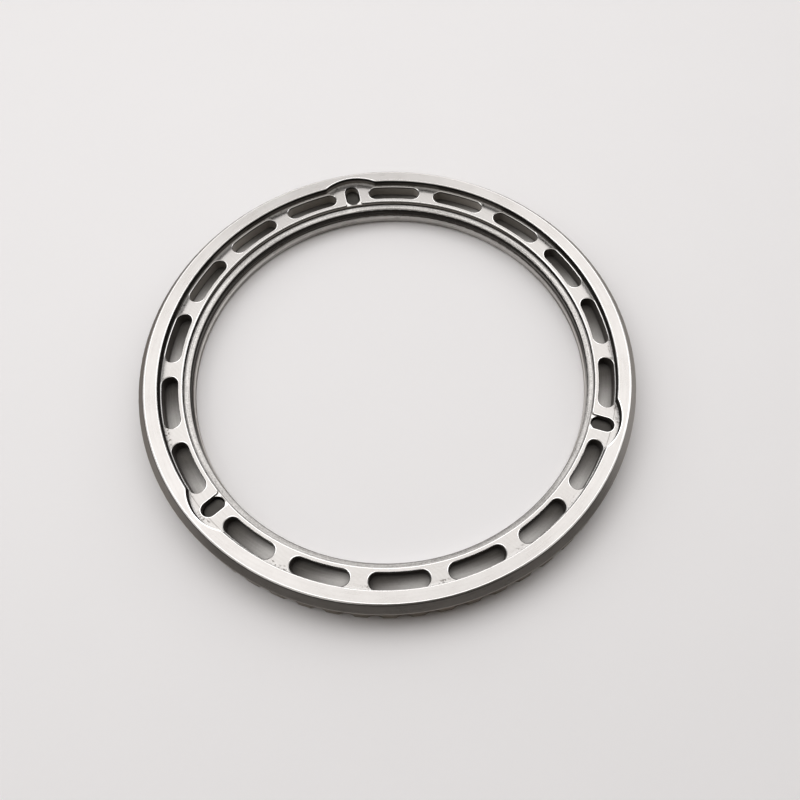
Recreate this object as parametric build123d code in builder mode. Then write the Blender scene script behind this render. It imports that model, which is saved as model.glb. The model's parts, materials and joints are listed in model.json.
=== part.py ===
from build123d import *
from math import cos, degrees, radians, sin, tan
import os

# Turning bezel of a diver's watch, lying face down.
# Z is the axis that it turns about and points to the watch case.
# The lip of the bore stands on Z = 0 and the scale on the face looks down.
# All lengths are in millimetres and all angles in degrees.

os.makedirs("parts", exist_ok=True)

# Ring, from the bore outwards
bore_radius = 16.02
ledge_width = 0.47
pocket_inner_land = 0.34
pocket_width = 1.28
pocket_outer_land = 0.11
rim_width = 1.01
band_run = 0.60

# Ring, from the table upwards
lip_height = 1.07
groove_height = 0.38
ledge_thickness = 0.25
ledge_rise = 0.11
floor_step = 0.46
recess_depth = 0.68
band_drop = 0.69
grip_foot = 0.75

# Edges of the ring
lip_round = 0.34
lip_foot_round = 0.16
ledge_setback = 0.03
ledge_round = 0.12
edge_break = 0.05

# Coin edge of the grip
tooth_count = 60
scallop_radius = 1.05
scallop_depth = 0.19
scallop_land = 0.12

# Kidney-shaped pockets in the floor
slot_count = 3
pockets_between_slots = 6
pocket_pitch = 19.1
pocket_length = 4.50
pocket_depth = 1.00

# Radial slots, their channels and the crescents behind them
first_slot_angle = 90
slot_inner_land = 0.08
slot_length = 1.86
slot_width = 1.26
slot_web = 0.18
channel_depth = 0.18
channel_mouth_round = 0.26
crescent_radius = 3.70
crescent_reach = 0.59
crescent_step = 0.03

# Groove of the bore and the split wire in it
groove_web = 0.15
wire_diameter = 0.30
wire_side_clearance = 0.05
wire_float = 0.04
wire_gap = 1.20

# Insert with the scale
lip_wall = 0.43
insert_width = 2.45
insert_gap = 0.03
insert_thickness = 0.42
bond_thickness = 0.04
bond_inset = 0.10
face_setback = 0.05
face_slope = 8
face_rim = 0.12

# Marks inlaid in the insert
mark_depth = 0.10
mark_margin = 0.24
numeral_height = 1.55
numeral_width = 0.86
numeral_stroke = 0.27
numeral_space = 0.30
bar_length = 1.50
bar_width = 0.46
minute_length = 0.62
minute_width = 0.15
triangle_base = 2.60
triangle_corner = 0.12
first_minutes = 15
minute_angle = 6

# Luminous pip at zero
pip_radius = 0.62
pip_fit = 0.01
pip_wall = 0.11
pip_floor = 0.10
lume_sink = 0.03
lens_rise = 0.11

# Sprung plungers in the slots
plunger_gap = 0.04
plunger_sink = 0.55
plunger_height = 0.35
plunger_round = 0.10
spring_thickness = 0.06
spring_width = 0.80
spring_end_gap = 0.14

# Cuts run past the surface by this much
overrun = 0.50

# Radii that follow
floor_radius = bore_radius + ledge_width
ledge_radius = bore_radius + ledge_setback
pocket_inner_radius = floor_radius + pocket_inner_land
pocket_outer_radius = pocket_inner_radius + pocket_width
pocket_radius = (pocket_inner_radius + pocket_outer_radius) / 2
recess_radius = pocket_outer_radius + pocket_outer_land
rim_radius = recess_radius + rim_width
band_radius = rim_radius + band_run
slot_inner_radius = floor_radius + slot_inner_land
slot_outer_radius = slot_inner_radius + slot_length
slot_radius = (slot_inner_radius + slot_outer_radius) / 2
groove_radius = slot_inner_radius - groove_web
crescent_centre = recess_radius + crescent_reach - crescent_radius
valley_radius = band_radius - scallop_depth
seat_inner_radius = bore_radius + lip_wall
insert_inner_radius = seat_inner_radius + insert_gap
insert_outer_radius = insert_inner_radius + insert_width
seat_outer_radius = insert_outer_radius + insert_gap
mark_outer_radius = insert_outer_radius - mark_margin
mark_radius = (insert_inner_radius + insert_outer_radius) / 2

# Heights that follow
groove_roof = lip_height + groove_height
ledge_height = groove_roof + ledge_thickness
ledge_root_height = ledge_height + ledge_rise
floor_height = ledge_root_height + floor_step
rim_height = floor_height + recess_depth
band_height = rim_height - band_drop
pocket_floor = floor_height - pocket_depth
channel_floor = floor_height - channel_depth


def face_height(radius):
    """Height of the insert's sloping face at a radius."""
    return face_setback + (radius - seat_inner_radius) * tan(radians(face_slope))


def seat_height(radius):
    """Height of the sloping seat that the insert is bonded to."""
    return face_height(radius) + insert_thickness + bond_thickness


slot_floor = seat_height(slot_outer_radius) + slot_web
slot_angles = [first_slot_angle + 360 / slot_count * i for i in range(slot_count)]


def near(sketch, radius, height):
    """The corner of a section that lies nearest to a point."""
    return sketch.vertices().sort_by_distance(Vector(radius, height))[0]


# Ring: one turned section, then the milled cuts
pocket_angles = [
    slot_angle + 180 / slot_count + (i - (pockets_between_slots - 1) / 2) * pocket_pitch
    for slot_angle in slot_angles
    for i in range(pockets_between_slots)
]
pocket_arc = degrees((pocket_length - pocket_width) / pocket_radius)

with BuildPart() as bezel_ring:
    with BuildSketch(Plane.XZ) as section:
        with BuildLine():
            Polyline(
                (bore_radius, 0),
                (seat_inner_radius, 0),
                (seat_inner_radius, seat_height(seat_inner_radius)),
                (seat_outer_radius, seat_height(seat_outer_radius)),
                (seat_outer_radius, face_height(seat_outer_radius)),
                (seat_outer_radius + face_rim, face_height(seat_outer_radius)),
                (band_radius, grip_foot),
                (band_radius, band_height),
                (rim_radius, rim_height),
                (recess_radius, rim_height),
                (recess_radius, floor_height),
                (floor_radius, floor_height),
                (floor_radius, ledge_root_height),
                (ledge_radius, ledge_height),
                (ledge_radius, groove_roof),
                (groove_radius, groove_roof),
                (groove_radius, lip_height),
                (bore_radius, lip_height),
                close=True,
            )
        make_face()
        fillet(near(section, bore_radius, lip_height), radius=lip_round)
        fillet(near(section, bore_radius, 0), radius=lip_foot_round)
        fillet(near(section, ledge_radius, ledge_height), radius=ledge_round)
        chamfer(near(section, seat_inner_radius, 0), length=edge_break)
        chamfer(near(section, recess_radius, rim_height), length=edge_break)
        chamfer(near(section, rim_radius, rim_height), length=edge_break)
        chamfer(near(section, floor_radius, floor_height), length=edge_break)
        chamfer(near(section, band_radius, band_height), length=edge_break)
        chamfer(near(section, band_radius, grip_foot), length=edge_break)
    revolve(axis=Axis.Z)

    # Coin edge, with a plain land left under the band
    with BuildSketch(Plane.XY.offset(-overrun)):
        with PolarLocations(
            valley_radius + scallop_radius,
            tooth_count,
            start_angle=180 / tooth_count,
        ):
            Circle(scallop_radius)
    extrude(amount=overrun + band_height - scallop_land, mode=Mode.SUBTRACT)

    # Kidney-shaped pockets with broken edges
    with BuildSketch(Plane.XY.offset(pocket_floor)):
        for angle in pocket_angles:
            middle_line = CenterArc(
                (0, 0), pocket_radius, angle - pocket_arc / 2, pocket_arc, mode=Mode.PRIVATE
            )
            SlotArc(middle_line, pocket_width)
    extrude(amount=rim_height - pocket_floor, mode=Mode.SUBTRACT)
    pocket_edges = (
        bezel_ring.edges()
        .filter_by_position(Axis.Z, floor_height - edge_break, floor_height + edge_break)
        .filter_by(
            lambda edge: floor_radius + pocket_inner_land / 2
            < Vector((edge @ 0.5).X, (edge @ 0.5).Y).length
            < recess_radius - pocket_outer_land / 2
        )
    )
    chamfer(pocket_edges, length=edge_break)

    # Crescents in the wall of the recess
    with BuildSketch(Plane.XY.offset(floor_height + crescent_step)):
        with PolarLocations(crescent_centre, slot_count, start_angle=first_slot_angle):
            Circle(crescent_radius)
    extrude(amount=rim_height - floor_height + overrun, mode=Mode.SUBTRACT)

    # Radial slots
    with BuildSketch(Plane.XY.offset(slot_floor)):
        with PolarLocations(slot_radius, slot_count, start_angle=first_slot_angle):
            SlotOverall(slot_length, slot_width)
    extrude(amount=rim_height - slot_floor, mode=Mode.SUBTRACT)

    # Channels from the slots to the bore, with rounded mouths
    channel_reach = slot_radius - floor_radius + overrun
    with BuildSketch(Plane.XY.offset(channel_floor)):
        with PolarLocations(
            slot_radius - channel_reach / 2, slot_count, start_angle=first_slot_angle
        ):
            Rectangle(channel_reach, slot_width)
    extrude(amount=rim_height - channel_floor, mode=Mode.SUBTRACT)
    mouth_edges = (
        bezel_ring.edges()
        .filter_by(Axis.Z)
        .filter_by(
            lambda edge: Vector(edge.center().X, edge.center().Y).length < slot_inner_radius
            and edge.center().Z > channel_floor
            and edge.length < channel_depth + edge_break
        )
    )
    fillet(mouth_edges, radius=channel_mouth_round)
bezel_ring.part.label = "bezel_ring"
export_step(bezel_ring.part, "parts/bezel_ring.step")


# Split wire in the groove of the bore, open on the near side
wire_radius = groove_radius - wire_side_clearance - wire_diameter / 2
wire_height = lip_height + wire_float + wire_diameter / 2
wire_gap_angle = degrees(wire_gap / wire_radius)
wire_start = -90 + wire_gap_angle / 2

with BuildPart() as retaining_wire:
    with BuildSketch(Plane.XZ.rotated((0, 0, wire_start))):
        with Locations((wire_radius, wire_height)):
            Circle(wire_diameter / 2)
    revolve(axis=Axis.Z, revolution_arc=360 - wire_gap_angle)
retaining_wire.part.label = "retaining_wire"
export_step(retaining_wire.part, "parts/retaining_wire.step")


# Scale: places on the face are counted in minutes, clockwise as the wearer sees them
face_plane = Plane(origin=(0, 0, 0), x_dir=(-1, 0, 0), z_dir=(0, 0, -1))
mark_reach = face_height(insert_outer_radius) + mark_depth + overrun


def dial_place(minute, radius):
    """Place on the face for a minute, with its own y axis pointing outwards."""
    turn = minute * minute_angle
    return Location((radius * sin(radians(turn)), radius * cos(radians(turn)), 0), (0, 0, -turn))


# Strokes of the digits as shares of their width and height, drawn on the middle of the stroke
digit_stroke_shares = {
    "0": [[(0, 0), (1, 0), (1, 1), (0, 1), (0, 0)]],
    "1": [[(0.25, 1), (0.62, 1), (0.62, 0)]],
    "2": [[(0, 1), (1, 1), (1, 0.53), (0, 0.53), (0, 0), (1, 0)]],
    "3": [[(0, 1), (1, 1), (1, 0.53), (0.3, 0.53)], [(0.3, 0.53), (1, 0.53), (1, 0), (0, 0)]],
    "4": [[(0, 1), (0, 0.38), (1, 0.38)], [(0.72, 1), (0.72, 0)]],
    "5": [[(1, 1), (0, 1), (0, 0.53), (1, 0.53), (1, 0), (0, 0)]],
}


def digit_outline(digit, left, width, height, stroke):
    """One digit, with the middle of its left stroke at left and its height centred on 0."""
    corner = min(width, height) * 2 / 5
    with BuildSketch() as outline:
        for path in digit_stroke_shares[digit]:
            points = [(left + x * width, (y - 1 / 2) * height) for x, y in path]
            with BuildLine():
                if path[0] == path[-1]:
                    FilletPolyline(*points[:-1], radius=corner, close=True)
                elif digit in "14":
                    Polyline(*points)
                else:
                    FilletPolyline(*points, radius=corner)
            trace(line_width=stroke)
    return outline.sketch


def inlay_layer():
    """The thin sloping layer under the face that every mark lies in."""
    with BuildPart() as layer:
        with BuildSketch(Plane.XZ):
            with BuildLine():
                Polyline(
                    (insert_inner_radius, face_height(insert_inner_radius)),
                    (insert_outer_radius, face_height(insert_outer_radius)),
                    (insert_outer_radius, face_height(insert_outer_radius) + mark_depth),
                    (insert_inner_radius, face_height(insert_inner_radius) + mark_depth),
                    close=True,
                )
            make_face()
        revolve(axis=Axis.Z)
    return layer.part


mark_layer = inlay_layer()
digit_width = numeral_width - numeral_stroke
digit_height = numeral_height - numeral_stroke
marks = []

# Numbers at the tens
for tens in range(1, 6):
    tens_left = -numeral_space / 2 - numeral_width + numeral_stroke / 2
    units_left = numeral_space / 2 + numeral_stroke / 2
    tens_digit = digit_outline(str(tens), tens_left, digit_width, digit_height, numeral_stroke)
    units_digit = digit_outline("0", units_left, digit_width, digit_height, numeral_stroke)
    with BuildPart() as numeral:
        with BuildSketch(face_plane):
            with Locations(dial_place(tens * 10, mark_radius)):
                add(tens_digit)
                add(units_digit)
        extrude(amount=-mark_reach)
        add(mark_layer, mode=Mode.INTERSECT)
    numeral.part.label = f"numeral_{tens}0"
    export_step(numeral.part, f"parts/numeral_{tens}0.step")
    marks.append(numeral.part)

# Bars at the fives between them
with BuildPart() as five_minute_bars:
    with BuildSketch(face_plane):
        for minute in range(5, 60, 10):
            with Locations(dial_place(minute, mark_radius)):
                SlotOverall(bar_length, bar_width, rotation=90)
    extrude(amount=-mark_reach)
    add(mark_layer, mode=Mode.INTERSECT)
five_minute_bars.part.label = "five_minute_bars"
export_step(five_minute_bars.part, "parts/five_minute_bars.step")
marks.append(five_minute_bars.part)

# Fine lines for the first minutes
with BuildPart() as minute_lines:
    with BuildSketch(face_plane):
        for minute in range(1, first_minutes):
            if minute % 5 != 0:
                with Locations(dial_place(minute, mark_outer_radius - minute_length / 2)):
                    Rectangle(minute_width, minute_length)
    extrude(amount=-mark_reach)
    add(mark_layer, mode=Mode.INTERSECT)
minute_lines.part.label = "minute_lines"
export_step(minute_lines.part, "parts/minute_lines.step")
marks.append(minute_lines.part)

# Triangle at zero, pointing inwards, with room for the pip
triangle_height = mark_outer_radius - insert_inner_radius - mark_margin
with BuildPart() as zero_triangle:
    with BuildSketch(face_plane):
        with BuildLine():
            FilletPolyline(
                (-triangle_base / 2, mark_outer_radius),
                (triangle_base / 2, mark_outer_radius),
                (0, mark_outer_radius - triangle_height),
                radius=triangle_corner,
                close=True,
            )
        make_face()
    extrude(amount=-mark_reach)
    add(mark_layer, mode=Mode.INTERSECT)
    pip_centre_radius = mark_outer_radius - triangle_height / 3
    pip_normal = Vector(0, sin(radians(face_slope)), -cos(radians(face_slope)))
    pip_centre = Vector(0, pip_centre_radius, face_height(pip_centre_radius))
    pip_plane = Plane(origin=pip_centre, x_dir=(-1, 0, 0), z_dir=pip_normal)
    with BuildSketch(pip_plane):
        Circle(pip_radius + pip_fit)
    extrude(amount=insert_thickness, both=True, mode=Mode.SUBTRACT)
zero_triangle.part.label = "zero_triangle"
export_step(zero_triangle.part, "parts/zero_triangle.step")
marks.append(zero_triangle.part)

# Insert: a thin cone with the marks and the pip's hole cut out
with BuildPart() as insert:
    with BuildSketch(Plane.XZ):
        with BuildLine():
            Polyline(
                (insert_inner_radius, face_height(insert_inner_radius)),
                (insert_outer_radius, face_height(insert_outer_radius)),
                (insert_outer_radius, face_height(insert_outer_radius) + insert_thickness),
                (insert_inner_radius, face_height(insert_inner_radius) + insert_thickness),
                close=True,
            )
        make_face()
    revolve(axis=Axis.Z)
    for mark in marks:
        add(mark, mode=Mode.SUBTRACT)
    with BuildSketch(pip_plane):
        Circle(pip_radius + pip_fit)
    extrude(amount=insert_thickness + bond_thickness, both=True, mode=Mode.SUBTRACT)
insert.part.label = "insert"
export_step(insert.part, "parts/insert.step")

# Adhesive film between the insert and its seat
bond_inner_radius = insert_inner_radius + bond_inset
bond_outer_radius = insert_outer_radius - bond_inset
with BuildPart() as insert_bond:
    with BuildSketch(Plane.XZ):
        with BuildLine():
            Polyline(
                (bond_inner_radius, face_height(bond_inner_radius) + insert_thickness),
                (bond_outer_radius, face_height(bond_outer_radius) + insert_thickness),
                (bond_outer_radius, seat_height(bond_outer_radius)),
                (bond_inner_radius, seat_height(bond_inner_radius)),
                close=True,
            )
        make_face()
    revolve(axis=Axis.Z)
insert_bond.part.label = "insert_bond"
export_step(insert_bond.part, "parts/insert_bond.step")

# Cup, luminous fill and clear dome of the pip
cup_depth = insert_thickness * cos(radians(face_slope)) - pip_fit
cup_bore = pip_radius - pip_wall
with BuildPart() as pip_cup:
    with BuildSketch(pip_plane):
        Circle(pip_radius)
    extrude(amount=-cup_depth)
    with BuildSketch(pip_plane):
        Circle(cup_bore)
    extrude(amount=-(cup_depth - pip_floor), mode=Mode.SUBTRACT)
pip_cup.part.label = "pip_cup"
export_step(pip_cup.part, "parts/pip_cup.step")

with BuildPart() as pip_lume:
    with BuildSketch(pip_plane.offset(-lume_sink)):
        Circle(cup_bore)
    extrude(amount=-(cup_depth - pip_floor - lume_sink))
pip_lume.part.label = "pip_lume"
export_step(pip_lume.part, "parts/pip_lume.step")

lens_height = lume_sink + lens_rise
with BuildPart() as pip_lens:
    with BuildSketch(pip_plane.offset(-lume_sink)):
        Circle(cup_bore)
    extrude(amount=lens_height)
    fillet(pip_lens.faces().sort_by(Axis.Z)[0].edges(), radius=lens_rise)
pip_lens.part.label = "pip_lens"
export_step(pip_lens.part, "parts/pip_lens.step")


# Plungers and the bowed leaf springs under them
plunger_top = floor_height - plunger_sink
plunger_foot = plunger_top - plunger_height
spring_rise = plunger_foot - slot_floor - spring_thickness
spring_length = slot_length - 2 * spring_end_gap

for number, angle in enumerate(slot_angles, start=1):
    radial = (cos(radians(angle)), sin(radians(angle)), 0)
    sideways = (sin(radians(angle)), -cos(radians(angle)), 0)

    with BuildPart() as plunger:
        with BuildSketch(Plane.XY.offset(plunger_foot)):
            with PolarLocations(slot_radius, 1, start_angle=angle):
                SlotOverall(slot_length - 2 * plunger_gap, slot_width - 2 * plunger_gap)
        extrude(amount=plunger_height)
        fillet(plunger.faces().sort_by(Axis.Z)[-1].edges(), radius=plunger_round)
    plunger.part.label = f"plunger_{number}"
    export_step(plunger.part, f"parts/plunger_{number}.step")

    leaf_plane = Plane(
        origin=(slot_radius * radial[0], slot_radius * radial[1], slot_floor),
        x_dir=radial,
        z_dir=sideways,
    )
    with BuildPart() as plunger_spring:
        with BuildSketch(leaf_plane):
            with BuildLine():
                ThreePointArc(
                    (-spring_length / 2, spring_thickness / 2),
                    (0, spring_thickness / 2 + spring_rise),
                    (spring_length / 2, spring_thickness / 2),
                )
            trace(line_width=spring_thickness)
        extrude(amount=spring_width / 2, both=True)
    plunger_spring.part.label = f"plunger_spring_{number}"
    export_step(plunger_spring.part, f"parts/plunger_spring_{number}.step")
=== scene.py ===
# %% [markdown]
# # A turning watch bezel, face down on a pale table
#
# The object is the ring that turns round the glass of a diver's watch. It lies on its face, so the picture
# shows the side that the wearer never sees: a sunk floor with pockets, three radial slots, a black wire
# groove, and the teeth of the coin edge just under the near rim. The solid pieces come from a packed CAD
# frame. This lesson gives them their finish, makes its own copies of the leaf springs, and sets the table,
# the light and the camera.

# %% Load the frame
import bpy
import json
from math import cos, pi, radians, sin
from mathutils import Matrix, Vector


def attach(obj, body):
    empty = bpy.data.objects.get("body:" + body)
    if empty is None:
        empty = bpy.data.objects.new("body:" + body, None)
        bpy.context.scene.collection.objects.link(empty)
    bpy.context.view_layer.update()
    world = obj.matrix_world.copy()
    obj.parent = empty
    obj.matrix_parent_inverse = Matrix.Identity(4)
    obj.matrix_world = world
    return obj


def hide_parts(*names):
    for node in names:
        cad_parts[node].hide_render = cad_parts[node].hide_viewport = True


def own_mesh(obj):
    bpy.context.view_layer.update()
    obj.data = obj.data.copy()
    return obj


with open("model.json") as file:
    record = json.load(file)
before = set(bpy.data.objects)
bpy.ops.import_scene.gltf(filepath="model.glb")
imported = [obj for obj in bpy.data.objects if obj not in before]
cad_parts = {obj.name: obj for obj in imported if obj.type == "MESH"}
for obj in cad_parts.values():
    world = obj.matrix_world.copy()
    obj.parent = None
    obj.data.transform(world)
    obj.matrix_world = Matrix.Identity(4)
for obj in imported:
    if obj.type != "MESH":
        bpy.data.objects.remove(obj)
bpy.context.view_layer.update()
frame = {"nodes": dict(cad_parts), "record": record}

# %% [markdown]
# ## Sizes of the ring
#
# Everything is in metres, because the frame is. One name for a millimetre keeps the numbers readable. The
# finishes below have to know which face of the metal they are on, and a face is told by its distance from
# the axis and its height. Those could be measured from the mesh, but a turner reads them from the drawing,
# so they are written down here, from the bore outwards and from the table upwards.

# %% Radii and heights
mm = 0.001

ledge_edge_radius = 16.05 * mm
floor_radius = 16.49 * mm
recess_radius = 18.22 * mm
rim_radius = 19.23 * mm
valley_radius = 19.64 * mm

lip_height = 1.07 * mm
groove_roof = 1.45 * mm
ledge_height = 1.70 * mm
ledge_root_height = 1.81 * mm
channel_floor = 2.09 * mm
band_height = 2.26 * mm
floor_height = 2.27 * mm
rim_height = 2.95 * mm
edge_break = 0.05 * mm
print("the flat rim is", round((rim_radius - recess_radius) / mm, 2), "mm wide")

# %% Pockets, slots and crescents
third = 2 * pi / 3
group_angle = radians(30)
slot_angle = radians(90)
pockets_each_side = 3
pocket_pitch = radians(19.1)
pocket_radius = 17.47 * mm
pocket_end_radius = 0.64 * mm
pocket_straight = 3.22 * mm
slot_radius = 17.50 * mm
slot_end_radius = 0.63 * mm
slot_straight = 0.60 * mm
crescent_centre = 15.11 * mm
crescent_radius = 3.70 * mm
print("a pocket is", round((pocket_straight + 2 * pocket_end_radius) / mm, 2), "mm long")

# %% [markdown]
# ## Shader maths as plain expressions
#
# A finish is a formula over the surface: how far a point is from the axis, how high it lies, how the cutter
# passed. Drawn by hand, such a node tree is a web of links that nobody can read. So a small class wraps a
# socket, and plus, minus, times and divide on it add the Math nodes. `step` and `band` turn a size into a
# mask from 0 to 1, which is how a finish says "here, and not there".

# %% A number on its way through the nodes
class Number:
    """A socket that can be used in arithmetic."""

    def __init__(self, graph, socket):
        self.graph = graph
        self.socket = socket

    def math(self, operation, *others, **settings):
        inputs = dict(enumerate((self, *others)))
        return self.graph.node("ShaderNodeMath", {"operation": operation, **settings}, inputs)

    def __add__(self, other):
        return self.math("ADD", other)

    def __sub__(self, other):
        return self.math("SUBTRACT", other)

    def __mul__(self, other):
        return self.math("MULTIPLY", other)

    def __truediv__(self, other):
        return self.math("DIVIDE", other)

    def __neg__(self):
        return self.math("MULTIPLY", -1.0)

    def __rsub__(self, other):
        return (-self) + other

    __radd__ = __add__
    __rmul__ = __mul__

    def least(self, other):
        return self.math("MINIMUM", other)

    def most(self, other):
        return self.math("MAXIMUM", other)

    def size(self):
        return self.math("ABSOLUTE")

    def root(self):
        return self.math("SQRT")

    def clamped(self):
        return self.math("ADD", 0.0, use_clamp=True)

    def floor(self):
        return self.math("FLOOR")

    def sine(self):
        return self.math("SINE")

    def cosine(self):
        return self.math("COSINE")

    def wrapped(self, low, high):
        return self.math("WRAP", high, low)

    def across(self, other):
        return (self * self + other * other).root()

    def step(self, low, high):
        """0 below low, 1 above high, with a smooth rise between them."""
        settings = {"interpolation_type": "SMOOTHSTEP"}
        inputs = {"Value": self, "From Min": low, "From Max": high, "To Min": 0.0, "To Max": 1.0}
        return self.graph.node("ShaderNodeMapRange", settings, inputs)

    def band(self, low, high, soft):
        """1 between low and high, fading out over soft on both sides."""
        return self.step(low - soft, low) * (1.0 - self.step(high, high + soft))


print("a socket now takes + - * / and", [name for name in dir(Number) if name[0] != "_"])

# %% [markdown]
# ## One way to make a node
#
# Every node comes from one method, `node`. It sets the node's settings first, because some of them change
# which sockets there are, and then its inputs, each a plain value or a link. A point on the surface is read
# in the object's own coordinates, so a pattern stays on the metal when the part moves or turns.

# %% The node maker
class Tree:
    """The node tree of one material or world."""

    def __init__(self, owner):
        owner.use_nodes = True
        self.tree = owner.node_tree
        self.tree.nodes.clear()

    def node(self, kind, settings=None, inputs=None, output=0):
        """Add a node and give its output, or several of them where output is a list."""
        made = self.tree.nodes.new(kind)
        for name, value in (settings or {}).items():
            setattr(made, name, value)
        for name, value in (inputs or {}).items():
            socket = made.inputs[name]
            if isinstance(value, Number):
                self.tree.links.new(value.socket, socket)
            else:
                socket.default_value = value
        if isinstance(output, list):
            return [Number(self, made.outputs[name]) for name in output]
        return Number(self, made.outputs[output]) if made.outputs else None

    def parts(self, vector):
        """The three numbers of a vector."""
        return self.node("ShaderNodeSeparateXYZ", {}, {0: vector}, output=["X", "Y", "Z"])

    def place(self):
        """The point on the surface in the object's own coordinates, in metres."""
        point = self.node("ShaderNodeTexCoord", output="Object")
        return point, *self.parts(point)

    def facing(self):
        """The height part of the surface's direction: 1 looks up, 0 is a wall."""
        direction = self.node("ShaderNodeTexCoord", output="Normal")
        return self.parts(direction)[2]


print("a tree has", [name for name in vars(Tree) if name[0] != "_"])

# %% [markdown]
# ## Patterns, colours and shaders
#
# A lathe leaves rings round the axis: noise that is stretched, narrow across the cut and long along it. The
# side of a milling cutter leaves small crescents: a wave that noise bends. An image of brushed metal could
# do both, but it would show a seam and repeat. Colours are mixed by the Mix node and never by Math nodes,
# which would turn them grey.

# %% Patterns and colours
class Pattern(Tree):
    """A node tree with the patterns that tools leave."""

    def noise(self, where, scale, detail=2.0, roughness=0.5):
        inputs = {"Vector": where, "Scale": scale, "Detail": detail, "Roughness": roughness}
        return self.node("ShaderNodeTexNoise", {}, inputs)

    def rings(self, x, y, across, width, turns, detail=2.0, roughness=0.5):
        """Streaks that run round the axis: narrow across, and long round the circle."""
        radius = x.across(y)
        inputs = {"X": across / width, "Y": x / radius * turns, "Z": y / radius * turns}
        where = self.node("ShaderNodeCombineXYZ", {}, inputs)
        return self.noise(where, 1.0, detail, roughness)

    def arcs(self, x, y, pitch, soft):
        """The crescent marks that the side of a milling cutter leaves, as soft stripes."""
        bend_size = 1.2 * mm
        bend = 9.0
        where = self.node("ShaderNodeCombineXYZ", {}, {"X": x, "Y": y})
        sway = self.noise(where, 1.0 / bend_size)
        across_stripes = x * 0.8 + y * 0.6
        wave = (across_stripes / pitch * (2 * pi) + sway * bend).sine()
        grain = self.noise(where, 1.0 / soft, detail=3.0, roughness=0.6)
        return (0.5 + 0.25 * wave + 0.9 * (grain - 0.5)).clamped()

    def blend(self, factor, first, second):
        """Mix two colours; the Mix node keeps its colour sockets at places 6 and 7."""
        return self.node("ShaderNodeMix", {"data_type": "RGBA"}, {0: factor, 6: first, 7: second}, output=2)

    def bump(self, height, strength, distance):
        inputs = {"Height": height, "Strength": strength, "Distance": distance}
        return self.node("ShaderNodeBump", {}, inputs)


def rgb(red, green, blue):
    return (red, green, blue, 1.0)


print("patterns:", [name for name in vars(Pattern) if name[0] != "_"])

# %% Shaders
class Graph(Pattern):
    """A node tree that ends in a finish."""

    def shader(self, **inputs):
        """One shader, with its inputs named as on the node."""
        named = {name.replace("_", " "): value for name, value in inputs.items()}
        return self.node("ShaderNodeBsdfPrincipled", {}, named)

    def covered(self, amount, under, cover):
        """Two shaders, the second one lying over the first by an amount from 0 to 1."""
        return self.node("ShaderNodeMixShader", {}, {0: amount, 1: under, 2: cover})

    def show(self, shader):
        """Put a shader on the surface."""
        self.node("ShaderNodeOutputMaterial", {}, {"Surface": shader})

    def surface(self, **inputs):
        """A finish of one shader."""
        self.show(self.shader(**inputs))


def material(name):
    made = bpy.data.materials.new(name)
    return made, Graph(made)


print("shaders:", [name for name in vars(Graph) if name[0] != "_"])

# %% [markdown]
# ## Turned and milled steel
#
# The ring is cut on a lathe, so its flats carry fine rings round the axis. Then it is milled, so the pocket
# bottoms are duller. A flat grey with gloss would look like plastic. Steel shows the room: what makes it
# look right is a high metallic value, a gloss that changes from face to face, and very shallow rings in the
# bump. The ring could have one material for each face, but its mesh is a single CAD solid whose triangles
# stay as they are. So one material works out, from the place of a point alone, which face it is on.
#
# First come the plain measures: how far the point is from the axis, from the edge of the nearest pocket,
# from the nearest slot, and from the wall of the recess. There are three groups of six pockets, so the angle
# is wrapped into a third of a turn and the same sum serves all of them.

# %% Where a point of the ring lies
turned_steel, g = material("turned_steel")
point, x, y, z = g.place()
radius = x.across(y)
angle = y.math("ARCTAN2", x)
up = g.facing()

from_group = (angle - group_angle).wrapped(-third / 2, third / 2)
pocket_number = (from_group / pocket_pitch).floor().most(-pockets_each_side).least(pockets_each_side - 1)
pocket_middle = (pocket_number + 0.5) * pocket_pitch
along = (from_group - pocket_middle).size() * radius
past_straight = (along - pocket_straight / 2).most(0.0)
to_pocket = past_straight.across(radius - pocket_radius) - pocket_end_radius

from_slot = (angle - slot_angle).wrapped(-third / 2, third / 2)
outwards = radius * from_slot.cosine()
aside = radius * from_slot.sine()
to_slot = (outwards - slot_radius - slot_straight / 2).most(0.0).across(aside) - slot_end_radius
to_crescent = (outwards - crescent_centre).across(aside) - crescent_radius
to_recess = (radius - recess_radius).least(to_crescent)
print("measures take", len(g.tree.nodes), "nodes")

# %% [markdown]
# ## Which cut a point lies on
#
# Each face of the ring becomes a mask: 1 on the face and 0 elsewhere. A face is told by its height, its
# radius and the way it looks, for a flat looks up and a wall looks sideways. The masks are made with soft
# limits a few hundredths of a millimetre wide, so that no jagged line shows where two faces meet. Such a
# limit lies at a short distance from a size of the drawing, so a small function takes the size and the two
# distances.

# %% Flats, walls and limits
def past(measure, size, start, end):
    """0 before and 1 after a size of the drawing; the rise starts and ends so many mm from it."""
    return measure.step(size + start * mm, size + end * mm)


flat = up.step(0.90, 0.99)
wall = 1.0 - up.size().step(0.25, 0.60)
outside = past(radius, rim_radius, 0.0, 0.02)
inside = 1.0 - outside
low_floor = 1.0 - past(z, floor_height, -0.10, -0.06)
over_floor = past(z, floor_height, 0.03, 0.12)
over_lip = past(z, lip_height, -0.08, -0.05)
over_groove = past(z, groove_roof, 0.02, 0.05)
past_step = past(radius, floor_radius, 0.03, 0.06)
bore_side = 1.0 - past(radius, floor_radius, -0.03, -0.01)
print("limits taken from heights of", round(lip_height / mm, 2), "to", round(rim_height / mm, 2), "mm")

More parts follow.
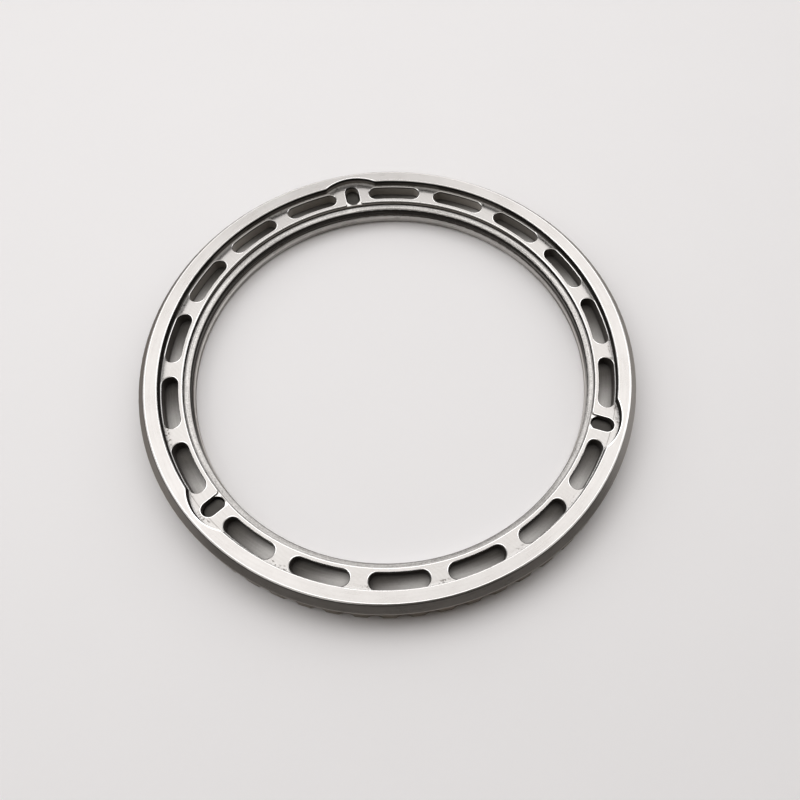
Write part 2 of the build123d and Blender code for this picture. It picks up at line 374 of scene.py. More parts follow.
# %% The faces as masks
rim = flat * past(z, rim_height, -0.02, -0.01)
land = flat * past_step * (1.0 - over_floor) * (1.0 - low_floor)
channel_margin = 0.03 * mm
soft = 0.01 * mm
at_channel = z.band(channel_floor - channel_margin, channel_floor + channel_margin, soft)
channel = flat * past_step * inside * at_channel
pocket = low_floor * past_step * inside * (1.0 - channel)
pocket_bottom = pocket * flat
pocket_wall = pocket * (1.0 - flat)
recess_wall = wall * over_floor * inside
step_wall = wall * radius.band(floor_radius - 0.07 * mm, floor_radius + 0.02 * mm, soft)
step_wall = step_wall * past(z, ledge_height, 0.0, 0.06)
ledge = bore_side * (1.0 - wall) * over_groove
groove = bore_side * over_lip * (1.0 - ledge)
lip = bore_side * (1.0 - over_lip)
band = outside * past(z, band_height, -0.02, 0.0) * (1.0 - flat)
grip = outside * (1.0 - past(z, band_height, -0.06, -0.04))
print("masks bring the tree to", len(g.tree.nodes), "nodes")

# %% [markdown]
# ## Broken edges
#
# A turner breaks every sharp edge with a narrow slope, and the slope catches the light as a thin white
# line. The slopes are in the CAD solid, but each is less than a pixel wide in the picture. So the line is
# carried a little way onto the flat beside it, with the distances measured above. Without it the rims look
# moulded.

# %% White lines along the edges
line = 0.056 * mm
below_flat = 0.010 * mm
break_soft = 0.004 * mm
rim_break = z.band(rim_height - edge_break, rim_height - below_flat, break_soft)
at_floor_edge = z.band(floor_height - edge_break, floor_height - below_flat, break_soft)
floor_break = inside * at_floor_edge * up.step(0.2, 0.4)
outer_line = radius.step(rim_radius - line * 2.0, rim_radius - line * 1.5)
rim_line = rim * (1.0 - to_recess.step(line, line * 1.5)).most(0.7 * outer_line)
to_step = radius - floor_radius - edge_break + line * 0.5
slot_margin = 0.020 * mm
to_edge = to_pocket.least(to_slot + slot_margin).least(to_step)
floor_line = land * (1.0 - to_edge.step(line * 0.8, line * 1.2))
edge = rim_break.most(floor_break).most(rim_line).most(floor_line)
print("edge lines are", round(line / mm, 3), "mm wide on the flats")

# %% [markdown]
# ## Marks of the lathe and the mill
#
# Two widths of rings lie over each other on the flats, because one width alone looks like a record. The
# walls are streaked by height in place of radius. Large soft clouds stand for handling, and a fine grit for
# the surface left by washing. Together they make `tone`, which picks between a darker and a lighter steel.

# %% Turning, milling, clouds and grit
turning = g.rings(x, y, radius, width=0.16 * mm, turns=5.0, detail=4.0, roughness=0.62)
fine_turning = g.rings(x, y, radius, width=0.045 * mm, turns=9.0, roughness=0.6)
wall_turning = g.rings(x, y, z, width=0.07 * mm, turns=5.0, detail=3.0, roughness=0.6)
ledge_turning = g.rings(x, y, radius + z, width=0.055 * mm, turns=3.0, detail=4.0, roughness=0.7)
streaks = ledge_turning.step(0.38, 0.62)
cloud = g.noise(point, 1.0 / (1.9 * mm), detail=3.0)
grit = g.noise(point, 1.0 / (0.10 * mm), detail=3.0, roughness=0.65)
milling = g.arcs(x, y, pitch=0.30 * mm, soft=0.12 * mm)
rings = flat * (0.6 * turning + 0.4 * fine_turning) + (1.0 - flat) * wall_turning
tone = (0.45 * rings + 0.35 * cloud + 0.20 * grit).step(0.34, 0.66)
print("marks bring the tree to", len(g.tree.nodes), "nodes")

# %% [markdown]
# ## Sides of the ring
#
# The photograph shows one steel in many tones, and some of them differ between the far side, the near side,
# the left and the right. That comes from the light, and here it is painted into the colours as painted
# light and painted shade on each side. Lamps could be set to make all of it, but each tone would then hang
# on one lamp, and the ring would look wrong from the other sides. So these masks say how far a point lies to
# the far, near, left or right side of the ring, for the painted light and shade below. The place is divided
# by the radius, so each direction runs from -1 to 1.

# %% Far, near, left and right
right = x / radius
left = -x / radius
far = y / radius
near = -y / radius
far_side = far.step(0.30, 0.85)
near_side = near.step(0.40, 0.95)
far_right = (right * 0.5 + far * 0.87).step(0.10, 0.90)
slanting = right.size().step(0.35, 0.75) * near.step(-0.10, 0.30)
print("directions bring the tree to", len(g.tree.nodes), "nodes")

# %% [markdown]
# ## Colours of the floor and its cuts
#
# The colours are laid on like paint, each over the ones before it. Its mask says where, times a share a
# little under 1, so that some of the steel's own tone still shows through.
#
# The floor between the pockets was faced by a mill, so it takes a faint pattern of arcs. The bottoms of the
# blind pockets carry painted shadow: a pocket's bottom runs from pale on the near side to nearly black at
# its far wall, and it is painted darker in the corner under the walls as painted shade.

# %% Floor and pocket bottoms
colour = g.blend(tone, rgb(0.450, 0.433, 0.418), rgb(0.535, 0.519, 0.505))
colour = g.blend(land * (0.15 + 0.30 * milling), colour, rgb(0.385, 0.372, 0.356))

# painted shadow: each pocket bottom is painted from pale on its near side to nearly black at its far wall
middle_angle = angle - from_group + pocket_middle
half_height = pocket_end_radius + pocket_straight / 2 * middle_angle.cosine().size()
shade = ((y - middle_angle.sine() * pocket_radius) / half_height).step(-1.2, 0.6)
lit_bottom = g.blend(tone, rgb(0.56, 0.545, 0.527), rgb(0.80, 0.785, 0.765))
shaded_bottom = g.blend(tone, rgb(0.080, 0.074, 0.067), rgb(0.140, 0.130, 0.120))
bottom = g.blend(shade, lit_bottom, shaded_bottom)
to_wall = to_pocket.least(to_slot)
# painted shade: the bottom is painted darker near the walls and darkest in the corner under them
broad_corner_shade = to_wall.step(-0.50 * mm, -0.10 * mm)
corner_hairline_shade = to_wall.step(-0.13 * mm, -0.03 * mm)
bottom = g.blend(0.20 * broad_corner_shade + 0.65 * corner_hairline_shade, bottom, rgb(0.050, 0.046, 0.042))
colour = g.blend(0.94 * pocket_bottom, colour, bottom)
print("floor and pockets bring the tree to", len(g.tree.nodes), "nodes")

# %% Channels and pocket walls
channel_half = 0.16 * mm
# painted shade and highlight: the channel floor is painted dark along its middle and pale at its flared
# corners
beside_channel = aside.size().step(channel_half, 0.40 * mm)
channel_shade_and_highlight = g.blend(beside_channel, rgb(0.10, 0.093, 0.085), rgb(0.78, 0.765, 0.745))
colour = g.blend(0.90 * channel, colour, channel_shade_and_highlight)
# painted light and shade: pocket walls are painted paler on the far side and darker in their upper part
pocket_wall_light_and_shade = g.blend(far_side, rgb(0.100, 0.092, 0.084), rgb(0.50, 0.470, 0.435))
upper_wall = past(z, floor_height, -0.26, -0.10)
pocket_wall_light_and_shade = g.blend(upper_wall, pocket_wall_light_and_shade, rgb(0.040, 0.036, 0.032))
colour = g.blend(0.97 * pocket_wall, colour, pocket_wall_light_and_shade)
print("a channel is darkest within", round(channel_half / mm, 2), "mm of its middle line")

# %% [markdown]
# ## Colours of the walls
#
# The wall of the recess is painted nearly black all round as painted shade, darkest towards the broken edge
# of the rim. On the far side, where the lens looks straight at it, its foot is painted paler as painted
# light. The step down to the ledge is painted dark too, as painted shade, and on the far side one lighter
# line is painted along its middle as a painted highlight.

# %% Recess wall and step
in_crescent = past(radius, recess_radius, 0.03, 0.06)
# painted shade: the recess wall is painted nearly black, darkest towards its top
wall_foot = g.blend(grit, rgb(0.015, 0.014, 0.013), rgb(0.055, 0.050, 0.046))
# painted light: on the far side the foot of the wall is painted paler, and its dark top starts higher
lit_far_foot = g.blend(0.7 * in_crescent, rgb(0.130, 0.118, 0.107), rgb(0.250, 0.231, 0.211))
wall_foot = g.blend(far_side * (0.6 + 0.4 * grit), wall_foot, lit_far_foot)
top_start = floor_height + 0.12 * mm + 0.20 * mm * far_side
wall_top = (z - top_start).step(0.0, 0.16 * mm)
recess_wall_shade = g.blend(wall_top, wall_foot, rgb(0.018, 0.016, 0.015))
colour = g.blend(0.97 * recess_wall, colour, recess_wall_shade)
# painted shade and highlight: the step is painted dark, with a paler line along its middle on the far side
step_middle = z.band(ledge_root_height + 0.14 * mm, floor_height - 0.20 * mm, 0.08 * mm)
step_shade_and_highlight = g.blend(step_middle * far_side, rgb(0.012, 0.011, 0.010), rgb(0.300, 0.278, 0.255))
colour = g.blend(0.97 * step_wall, colour, step_shade_and_highlight)
print("walls bring the tree to", len(g.tree.nodes), "nodes")

# %% [markdown]
# ## Colours of the ledge, the groove and the lip
#
# Inside the step a narrow ledge slopes to the bore. It carries turning marks, and their streaks from dark to
# nearly white are a painted sheen, with a painted highlight towards its outer edge and painted shade at its
# root and on the near side. Below it the groove of the wire is painted black as painted shade. The lip under
# the groove is rolled over at its top. One bright line is painted along it as a painted highlight, its left
# and right flanks are painted paler as painted reflection, and its top and its foot are painted dark as
# painted shade. The underside of the lip, which nobody sees until the ring is lifted, keeps plain steel.

# %% Ledge and groove
# painted highlight: the ledge is painted paler towards its outer edge
outer_ledge_highlight = past(radius, ledge_edge_radius, 0.12, 0.34)
ledge_dark = g.blend(outer_ledge_highlight, rgb(0.23, 0.221, 0.211), rgb(0.26, 0.25, 0.24))
ledge_light = g.blend(outer_ledge_highlight, rgb(0.74, 0.722, 0.700), rgb(0.80, 0.785, 0.765))
# painted sheen: the turning streaks run from dark to nearly white
ledge_tone = g.blend(0.6 * streaks + 0.4 * grit.step(0.36, 0.62), ledge_dark, ledge_light)
# painted shade: the ledge is painted darker at its root and on the near side
ledge_root = past(radius, floor_radius, -0.09, -0.05)
ledge_shadow = (0.35 * near_side).most(0.9 * ledge_root)
ledge_tone = g.blend(ledge_shadow, ledge_tone, rgb(0.06, 0.056, 0.052))
colour = g.blend(0.94 * ledge, colour, ledge_tone)
# painted shade: the groove is painted nearly black
painted_groove_shade = g.blend(streaks, rgb(0.010, 0.009, 0.008), rgb(0.040, 0.036, 0.032))
colour = g.blend(0.97 * groove, colour, painted_groove_shade)
print("the ledge is", round((floor_radius - ledge_edge_radius) / mm, 2), "mm wide")

# %% Lip
not_under = up.step(-0.60, -0.40)
# painted shade: the top of the lip is painted dark, except on the near side
lip_top_shade = z.step(0.76 * mm, 0.88 * mm) * (1.0 - 0.8 * near.step(0.0, 0.5))
# painted highlight: one bright line along the lip, weaker on the far right
lip_highlight = z.band(0.45 * mm, 0.64 * mm, 0.08 * mm)
# painted shadow: the foot of the lip is painted dark where it meets the table
lip_foot_shadow = 1.0 - z.step(0.04 * mm, 0.16 * mm)
lip_dark = g.blend(streaks, rgb(0.020, 0.018, 0.016), rgb(0.085, 0.077, 0.070))
lip_tone = g.blend(streaks, rgb(0.30, 0.287, 0.272), rgb(0.56, 0.543, 0.522))
# painted reflection: the lip is painted paler on its left and right flanks
lip_tone = g.blend(0.8 * slanting, lip_tone, rgb(0.86, 0.84, 0.81))
lip_tone = g.blend(lip_highlight * (1.0 - 0.75 * far_right), lip_tone, rgb(0.97, 0.95, 0.92))
lip_tone = g.blend(lip_top_shade.most(0.5 * lip_foot_shadow), lip_tone, lip_dark)
colour = g.blend(0.95 * lip * not_under, colour, lip_tone)
print("the lip stands", round(lip_height / mm, 2), "mm over the table")

# %% [markdown]
# ## Colours of the band and the grip
#
# Outside the rim a smooth cone falls to the teeth. It is darker steel than the rim, painted darkest in front
# and under the rim's edge as painted shade, and paler at the left and the right as painted reflection. The
# valleys between the teeth are painted darker than the tips as painted shade.

# %% Band, teeth and the edge between them
# painted shade: a dark line along the top of the band under the rim's edge, weaker on the right
band_top_shade = past(z, rim_height, -0.15, -0.08)
band_top_shade = band_top_shade * (1.0 - 0.8 * right.step(0.60, 0.90))
# painted shade and reflection: the band is darkest in front, paler at the left and palest at the right
band_shade_and_reflection = g.blend(tone, rgb(0.095, 0.088, 0.080), rgb(0.130, 0.121, 0.111))
band_shade_and_reflection = g.blend(left.step(0.75, 1.0), band_shade_and_reflection, rgb(0.235, 0.220, 0.204))
band_shade_and_reflection = g.blend(right.step(0.60, 0.95), band_shade_and_reflection, rgb(0.380, 0.367, 0.351))
band_shade_and_reflection = g.blend(band_top_shade, band_shade_and_reflection, rgb(0.022, 0.019, 0.017))
colour = g.blend(0.96 * band, colour, band_shade_and_reflection)

# painted shade: the valleys between the teeth are painted darker than the tips
tooth_tip = past(radius, valley_radius, 0.04, 0.15)
grip_tone = g.blend(tooth_tip, rgb(0.085, 0.068, 0.052), rgb(0.215, 0.180, 0.145))
colour = g.blend(0.94 * grip, colour, grip_tone)
# painted highlight: a pale line along the foot of the band, painted dark on the near side as painted shade
band_foot = outside * z.band(band_height - 0.05 * mm, band_height + 0.03 * mm, 0.015 * mm)
foot_side = near.step(0.45, 0.80)
band_foot_highlight = g.blend(foot_side, rgb(0.78, 0.755, 0.72), rgb(0.27, 0.255, 0.238))
colour = g.blend(0.90 * band_foot, colour, band_foot_highlight)
print("band and teeth bring the tree to", len(g.tree.nodes), "nodes")

# %% [markdown]
# ## The corner under the wall, and the edges last
#
# Where the floor meets the wall, a pale strip is painted as a painted highlight, a dark hairline is painted
# in the corner as painted shade, and a scatter of dried specks lies there. The white edge lines are painted
# after all the faces, because they lie over them. The nearest stretch of the rim's edge turns away from the
# light, so it is dark again.

# %% Corner, specks and edge lines
half_line = 0.015 * mm
at_arc = radius.band(recess_radius - half_line, recess_radius + half_line, 0.02 * mm)
colour = g.blend(0.55 * land * at_arc, colour, rgb(0.12, 0.11, 0.10))
# painted highlight: a pale strip on the floor along the foot of the wall
lit_strip_by_wall = land * to_recess.step(-0.34 * mm, -0.06 * mm)
colour = g.blend(0.85 * lit_strip_by_wall, colour, rgb(0.80, 0.785, 0.765))
# painted shade: a dark hairline in the corner under the wall, left out on the far side
wall_corner_shade = land * to_recess.step(-0.075 * mm, -0.045 * mm) * (1.0 - far_side)
colour = g.blend(0.85 * wall_corner_shade, colour, rgb(0.030, 0.027, 0.024))
specks = g.noise(point, 1.0 / (0.17 * mm), detail=3.0, roughness=0.7).step(0.52, 0.60)
at_foot = land * to_recess.band(-0.34 * mm, 0.0, 0.12 * mm) * cloud.step(0.42, 0.56)
colour = g.blend(0.85 * specks * at_foot, colour, rgb(0.10, 0.09, 0.08))

colour = g.blend(0.96 * edge, colour, rgb(0.985, 0.975, 0.960))
outer_break = rim_break * past(radius, rim_radius, -0.10, -0.06)
near_break = outer_break * near.step(0.91, 0.98)
colour = g.blend(0.90 * near_break, colour, rgb(0.10, 0.09, 0.08))
print("all colours bring the tree to", len(g.tree.nodes), "nodes")

# %% [markdown]
# ## Gloss, relief and a painted shade film
#
# Turned steel is smooth, milled steel is rougher, and the broken edges are the smoothest of all. The marks
# go into a very shallow bump. Metal mirrors more at a flat angle, and the specular tint holds that down, or
# the low side views would turn white.
#
# The walls, the corner hairline and the groove are covered by a dull dark film, as painted shade. It could
# be a dark metal colour, but that would still mirror the room, so it is a second shader with hardly any
# gloss, laid over the steel where the walls, the corner and the groove are.

# %% Gloss and relief
roughness = 0.21 + 0.08 * cloud + 0.07 * rings - 0.06 * edge
roughness = roughness + 0.34 * pocket_bottom + 0.12 * pocket_wall + 0.16 * ledge
metallic = 1.0 - 0.50 * lip * lip_highlight - 0.60 * pocket_wall - 0.70 * lit_strip_by_wall * (1.0 - edge)
metallic = (metallic - 0.45 * recess_wall * far_side).clamped()
marks = rings * (1.0 - 0.8 * pocket) + grit * (0.25 + 0.6 * pocket)
relief_depth = 0.006 * mm
relief = g.bump(marks, strength=0.25, distance=relief_depth)
print("the relief is", round(relief_depth / mm, 3), "mm deep")

# %% Bare steel, and a painted shade film over it
bare_steel = g.shader(
    Base_Color=colour,
    Metallic=metallic,
    Roughness=roughness,
    Specular_Tint=rgb(0.50, 0.48, 0.46),
    Normal=relief,
)
painted_shade_film = g.shader(
    Base_Color=g.blend(grit, rgb(0.008, 0.007, 0.006), rgb(0.022, 0.020, 0.018)),
    Roughness=0.75,
    Specular_IOR_Level=0.1,
    Normal=relief,
)
# painted shade: the dark film covers the walls, the corner hairline and the groove
shaded_step = step_wall * (1.0 - step_middle * far_side)
shaded_recess = recess_wall * (1.0 - far_side * (1.0 - wall_top))
shade_film_cover = shaded_step.most(shaded_recess).most(wall_corner_shade).most(groove) * (1.0 - edge)
g.show(g.covered(0.92 * shade_film_cover, bare_steel, painted_shade_film))
print("turned steel:", len(g.tree.nodes), "nodes")

# %% [markdown]
# ## The other metals
#
# The split wire in the groove is dark and oily. The plungers are ground steel of a nearly black tone, the
# springs are plain ground steel, and the pip's cup is polished. One function serves them all, because they
# differ only in colour, gloss and the size of their grain.

# %% Small steel pieces
def small_steel(name, dark, light, roughness, grain, depth):
    """Steel between two tones, with scratches of one grain size and a shallow relief."""
    cloud_size = 12 * grain
    made, g = material(name)
    point = g.place()[0]
    scratches = g.noise(point, 1.0 / grain, detail=4.0, roughness=0.65)
    cloud = g.noise(point, 1.0 / cloud_size)
    colour = g.blend(0.6 * scratches + 0.4 * cloud, dark, light)
    g.surface(
        Base_Color=colour,
        Metallic=1.0,
        Roughness=roughness + 0.14 * scratches,
        Normal=g.bump(scratches, 0.35, depth),
    )
    print(name, "has a grain of", round(grain / mm, 3), "mm")
    return made


oiled_wire = small_steel(
    "oiled_wire",
    dark=rgb(0.012, 0.011, 0.010),
    light=rgb(0.055, 0.050, 0.045),
    roughness=0.22,
    grain=0.12 * mm,
    depth=0.010 * mm,
)
ground_steel = small_steel(
    "ground_steel",
    dark=rgb(0.030, 0.028, 0.026),
    light=rgb(0.080, 0.076, 0.070),
    roughness=0.36,
    grain=0.05 * mm,
    depth=0.004 * mm,
)
spring_steel = small_steel(
    "spring_steel",
    dark=rgb(0.36, 0.35, 0.34),
    light=rgb(0.50, 0.49, 0.47),
    roughness=0.28,
    grain=0.05 * mm,
    depth=0.003 * mm,
)
polished_steel = small_steel(
    "polished_steel",
    dark=rgb(0.74, 0.74, 0.74),
    light=rgb(0.86, 0.86, 0.86),
    roughness=0.08,
    grain=0.05 * mm,
    depth=0.001 * mm,
)

# %% [markdown]
# ## The scale
#
# On the hidden face sits the scale ring, thin black anodised aluminium. Anodising keeps the fine grain of
# the sheet, so the black isn't quite even and has a satin gloss, here as a thin coat over a dark metal. The
# marks are silver lacquer in shallow engraving: small flakes that make it sparkle a little.

# %% Anodised scale ring
def anodised_black():
    """Black anodised aluminium with the grain of the sheet under it."""
    made, g = material("anodised_black")
    point, x, y, z = g.place()
    grain = g.noise(point, 1.0 / (0.06 * mm), detail=3.0, roughness=0.6)
    rings = g.rings(x, y, x.across(y), width=0.05 * mm, turns=6.0)
    cloud = g.noise(point, 1.0 / (4.0 * mm))
    colour = g.blend(0.5 * grain + 0.5 * cloud, rgb(0.010, 0.010, 0.012), rgb(0.026, 0.026, 0.030))
    g.surface(
        Base_Color=colour,
        Metallic=0.35,
        Roughness=0.30 + 0.16 * grain,
        Normal=g.bump(0.6 * grain + 0.4 * rings, strength=0.25, distance=0.004 * mm),
        Coat_Weight=0.25,
        Coat_Roughness=0.22,
    )
    print("anodised black:", len(g.tree.nodes), "nodes")
    return made


scale_black = anodised_black()

# %% Powdery finishes
def powder(name, dark, light, roughness, spread, grain, depth, detail=3.0, strength=0.25, metallic=0.0):
    """A finish made of fine grains: each grain changes the colour, the gloss and the relief."""
    made, g = material(name)
    point = g.place()[0]
    grains = g.noise(point, 1.0 / grain, detail=detail, roughness=0.7)
    g.surface(
        Base_Color=g.blend(grains, dark, light),
        Metallic=metallic,
        Roughness=roughness + spread * grains,
        Normal=g.bump(grains, strength, depth),
    )
    print(name, "has grains of", round(grain / mm, 3), "mm")
    return made


silver = powder(
    "silver_lacquer",
    dark=rgb(0.66, 0.66, 0.64),
    light=rgb(0.84, 0.84, 0.82),
    roughness=0.34,
    spread=0.12,
    grain=0.035 * mm,
    depth=0.003 * mm,
    metallic=0.25,
)

# %% [markdown]
# ## The luminous pip and the bond
#
# The pip at zero is a polished cup filled with a pale green powder that glows in the dark, under a clear
# dome. The film that holds the scale in its seat is fibrous and matt. Both are powders like the lacquer, so
# they share its function and differ in the size of their grains.

# %% Luminous fill and bond film
lume = powder(
    "luminous_fill",
    dark=rgb(0.68, 0.74, 0.56),
    light=rgb(0.82, 0.86, 0.72),
    roughness=0.62,
    spread=0.20,
    grain=0.05 * mm,
    depth=0.004 * mm,
    strength=0.4,
)
bond = powder(
    "bond_film",
    dark=rgb(0.50, 0.47, 0.40),
    light=rgb(0.66, 0.63, 0.56),
    roughness=0.55,
    spread=0.20,
    grain=0.12 * mm,
    depth=0.005 * mm,
    detail=4.0,
    strength=0.3,
)

# %% [markdown]
# ## The clear dome
#
# Glass could be left to bend the light, but a lens of half a millimetre needs many samples for that and
# stays grainy. So the dome is a mostly clear surface with a strong, sharp coat, which is what the eye sees
# of such a lens. Its flat seat lies on the powder, face on face, and two faces in one place flicker. The
# seat is therefore painted like the powder and is not see-through, and only the bulge above it is clear.

# %% Clear dome
face_slope = radians(8)
face_outwards = Vector((0, sin(face_slope), -cos(face_slope)))
dome_corners = frame["nodes"]["pip_lens"].data.vertices
dome_seat = min(corner.co.dot(face_outwards) for corner in dome_corners)
print("the dome's seat lies", round(dome_seat / mm, 3), "mm along its own axis")

clear_dome, g = material("clear_dome")
point, x, y, z = g.place()
haze = g.noise(point, 1.0 / (0.2 * mm))
height = y * face_outwards.y + z * face_outwards.z
over_seat = past(height, dome_seat, 0.003, 0.006)
g.surface(
    Base_Color=g.blend(over_seat, rgb(0.76, 0.81, 0.65), rgb(0.97, 0.98, 0.98)),
    Roughness=0.03 + 0.05 * haze,
    IOR=1.49,
    Alpha=1.0 - over_seat * (0.88 - 0.08 * haze),
    Coat_Weight=1.0,
    Coat_Roughness=0.03,
)
print("clear dome:", len(g.tree.nodes), "nodes")

# %% [markdown]
# ## Finishes and smooth shading on the CAD pieces
#
# The frame's record names a material slot for each piece, so a table from slot to finish is enough. A CAD
# mesh is a heap of loose triangles, which would show every facet. Its faces are switched to smooth, a Weld
# modifier joins the corners, an Edge Split modifier keeps every real edge sharp, and a Weighted Normal
# modifier keeps the large flats even. Joining the corners in the mesh itself would do the same, but a CAD
# piece has to stay as it was drawn, so its mesh isn't changed.

# %% Finish the CAD nodes
finish_of_slot = {
    "ring_steel": turned_steel,
    "wire_steel": oiled_wire,
    "anodised_black": scale_black,
    "bond_film": bond,
    "inlay_silver": silver,
    "pip_steel": polished_steel,
    "lume": lume,
    "clear_dome": clear_dome,
    "plunger_steel": ground_steel,
    "spring_steel": spring_steel,
}
slot_of_node = {row["node"]: row["material_slot"] for row in frame["record"]["subparts"]}
corner_distance = 0.0005 * mm
sharp_angle = radians(22.8)

for name, piece in frame["nodes"].items():
    for slot in piece.material_slots:
        slot.material = finish_of_slot[slot_of_node[name]]
    if not piece.material_slots:
        piece.data.materials.append(finish_of_slot[slot_of_node[name]])
    piece.data.polygons.foreach_set("use_smooth", [True] * len(piece.data.polygons))
    weld = piece.modifiers.new("weld", "WELD")
    weld.merge_threshold = corner_distance
    split = piece.modifiers.new("split", "EDGE_SPLIT")
    split.split_angle = sharp_angle
    weighted = piece.modifiers.new("weighted", "WEIGHTED_NORMAL")
    weighted.keep_sharp = True
print("finished", len(frame["nodes"]), "pieces with", len(set(slot_of_node.values())), "finishes")

# %% [markdown]
# ## Leaf springs
#
# Under each plunger a thin bowed leaf of steel holds it up. When the plunger is pressed in, the bow
# flattens. The CAD leaf is rigid and would stab through the plunger. A bone or a shape key could bend it.
# Here each leaf is a piece of its own: a copy of the CAD leaf with its loose corners joined, which takes the
# place of the hidden CAD leaf and rides on the bezel.

# %% Make the three leaf springs
leaf_sharp_angle = radians(30)


def join_corners(piece):
    """Merge the loose corners of a copied CAD mesh and shade it smooth between its real edges."""
    bpy.ops.object.select_all(action="DESELECT")
    piece.select_set(True)
    bpy.context.view_layer.objects.active = piece
    bpy.ops.object.mode_set(mode="EDIT")
    bpy.ops.mesh.select_all(action="SELECT")
    bpy.ops.mesh.remove_doubles(threshold=corner_distance)
    bpy.ops.object.mode_set(mode="OBJECT")
    bpy.ops.object.shade_smooth_by_angle(angle=leaf_sharp_angle)


def leaf_spring(number):
    """The bowed leaf under one plunger, as a piece of its own that rides on the bezel."""
    node_name = f"plunger_spring_{number}"
    leaf = bpy.data.objects.new(f"leaf_spring_{number}", frame["nodes"][node_name].data.copy())
    bpy.context.collection.objects.link(leaf)
    join_corners(leaf)

    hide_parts(node_name)
    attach(leaf, "bezel")
    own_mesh(leaf)
    return leaf


leaf_springs = [leaf_spring(number) for number in (1, 2, 3)]
print("made", len(leaf_springs), "leaf springs")

# %% [markdown]
# ## The table
#
# The ring lies on a plain pale surface, read here as card. A white plane would do, but real card is never
# one tone, so two noises, one as wide as a finger and one as fine as the fibres, shift it by a hair. The
# plane is large enough that its edge lies out of the photograph.

# %% Make the table
table_width = 1.6
bpy.ops.mesh.primitive_plane_add(size=table_width, location=(0, 0, 0))
table = bpy.context.active_object
table.name = "table"
table_finish, g = material("pale_table")
point = g.place()[0]
paper = g.noise(point, 1.0 / (9 * mm), detail=3.0)
grain = g.noise(point, 1.0 / (0.5 * mm), detail=3.0, roughness=0.6)
g.surface(
    Base_Color=g.blend(0.6 * paper + 0.4 * grain, rgb(0.895, 0.885, 0.890), rgb(0.920, 0.910, 0.915)),
    Roughness=0.62,
    Normal=g.bump(grain, strength=0.15, distance=0.02 * mm),
)
table.data.materials.append(table_finish)
print("the table is", round(table.dimensions.x, 2), "m wide")

# %% [markdown]
# ## The room
#
# The light in the photograph comes from above and behind. The side of the camera is dark, which is why the
# sloping band under the near rim looks dark and the ring throws its soft shadow towards us. So the world
# is a room with a bright upper part behind the ring, and a front half that gives nearly no light.
#
# A room that dark in front has one fault: from the other sides the steel would mirror a black wall. The
# Light Path node tells camera, mirror and see-through rays from the rays that light the scene. The first
# three meet a paler wall, and the others meet the dark one. The side views then show steel in a room, and
# the shadows stay those of the photograph.

# %% Set the room
world = bpy.context.scene.world or bpy.data.worlds.new("room")
bpy.context.scene.world = world
room = Graph(world)
across, back, high = room.parts(room.node("ShaderNodeTexCoord", output="Generated"))
upper = high.step(0.05, 0.55)
front = (-back).step(-0.05, 0.45)
day_colour = rgb(1.0, 0.985, 0.98)
low_light = 0.36 * (1.0 - 0.97 * front)
high_light = 0.68 - 0.64 * front
light_level = low_light * (1.0 - upper) + high_light * upper
light_colour = room.blend(front, day_colour, rgb(1.0, 0.82, 0.66))
low_wall = 0.48 - 0.08 * front
high_wall = 0.66 - 0.20 * front
wall_level = low_wall * (1.0 - upper) + high_wall * upper
wall_colour = room.blend(front, day_colour, rgb(1.0, 0.96, 0.92))

ray_kinds = ["Is Camera Ray", "Is Glossy Ray", "Is Transmission Ray"]
direct, mirrored, looked_through = room.node("ShaderNodeLightPath", output=ray_kinds)
seen = direct.most(mirrored).most(looked_through)
level = seen * wall_level + (1.0 - seen) * light_level
colour = room.blend(seen, light_colour, wall_colour)
background = room.node("ShaderNodeBackground", {}, {"Color": colour, "Strength": level})
room.node("ShaderNodeOutputWorld", {}, {"Surface": background})
print("the room:", len(room.tree.nodes), "nodes")

# %% [markdown]
# ## Lamps
#
# Three sheets of light stand in for a ceiling, a window on the left and a pale screen on the right. They are
# large and plain in level, because small strong lamps would put hard spots on the steel. The ceiling hangs a
# little behind the ring, and the other two brighten the left and the right of the rim.

# %% Hang the lamps
lamp_colour = (1.0, 0.99, 0.985)


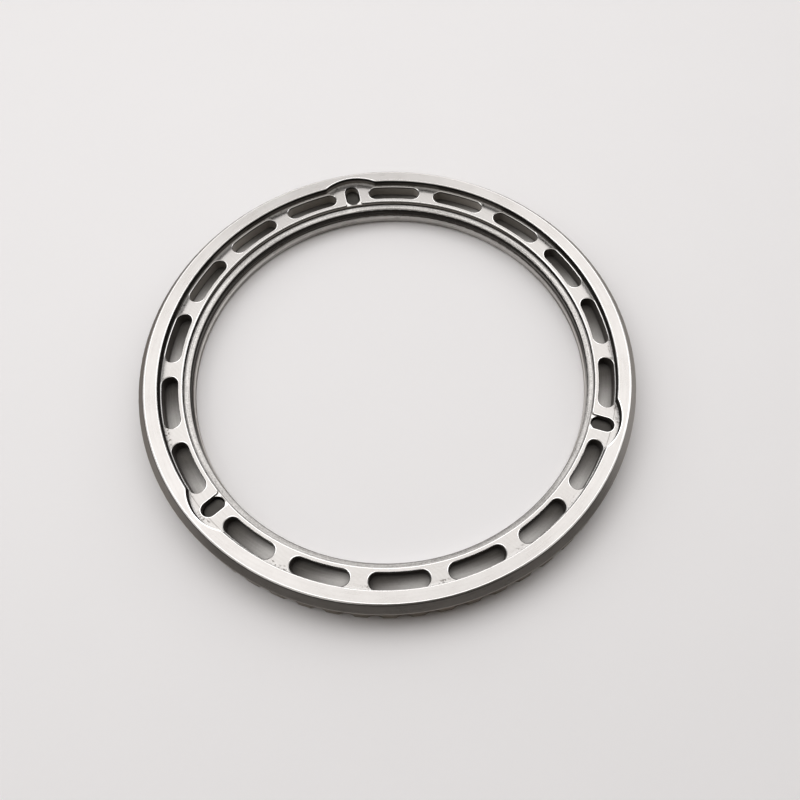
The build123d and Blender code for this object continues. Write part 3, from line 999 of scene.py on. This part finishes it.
def soft_lamp(name, place, target, width, depth, level):
    """A sheet of light that looks at its target; level is how bright the sheet looks."""
    data = bpy.data.lights.new(name, "AREA")
    data.shape = "RECTANGLE"
    data.size = width
    data.size_y = depth
    data.energy = level * pi * width * depth
    data.color = lamp_colour
    lamp = bpy.data.objects.new(name, data)
    lamp.location = place
    lamp.rotation_euler = (Vector(target) - Vector(place)).to_track_quat("-Z", "Y").to_euler()
    bpy.context.collection.objects.link(lamp)
    print(name, "gives", round(data.energy, 3), "W")
    return lamp


middle = (0, 0, 0)
beside_middle = (-0.012, 0, 0)
soft_lamp("ceiling", (-0.016, 0.059, 0.15), beside_middle, width=0.26, depth=0.145, level=1.25)
soft_lamp("left_window", (-0.36, 0.10, 0.28), middle, width=0.30, depth=0.30, level=0.80)
soft_lamp("right_screen", (0.36, 0.10, 0.28), middle, width=0.30, depth=0.30, level=0.72)

# %% [markdown]
# ## The camera
#
# The camera was found from the picture itself: the circles of the ring were matched to their outlines, and a
# fit gave the place, the direction, the roll and the focal length. The centre of the lens came out away from
# the centre of the picture, as when a photograph is cut from a larger one. Turning the camera could hide
# that, but the circles would then lie a little wrong, so the shift settings carry it.

# %% Set the camera
camera_place = Vector((-2.97, -27.67, 53.74)) * mm
camera_target = Vector((3.86, -7.01, 2.27)) * mm
camera_roll = radians(5.16)
focal_pixels = 719.8
picture_width = 800
sensor_width = 36.0
centre_right = 58.2
centre_down = 32.7

camera_data = bpy.data.cameras.new("camera")
camera_data.sensor_width = sensor_width
camera_data.lens = sensor_width * focal_pixels / picture_width
camera_data.shift_x = -centre_right / picture_width
camera_data.shift_y = centre_down / picture_width
camera_data.clip_start = 1 * mm
camera_data.clip_end = 10.0
camera = bpy.data.objects.new("camera", camera_data)
aim = (camera_target - camera_place).to_track_quat("-Z", "Y").to_matrix()
turn = aim @ Matrix.Rotation(camera_roll, 3, "Z")
camera.matrix_world = Matrix.Translation(camera_place) @ turn.to_4x4()
bpy.context.collection.objects.link(camera)
bpy.context.scene.camera = camera
bpy.context.scene.view_settings.view_transform = "Standard"
print("the lens is", round(camera_data.lens, 2), "mm long")

# %% [markdown] ## The end The leaf springs are the only new pieces, and they lie inside the ring.
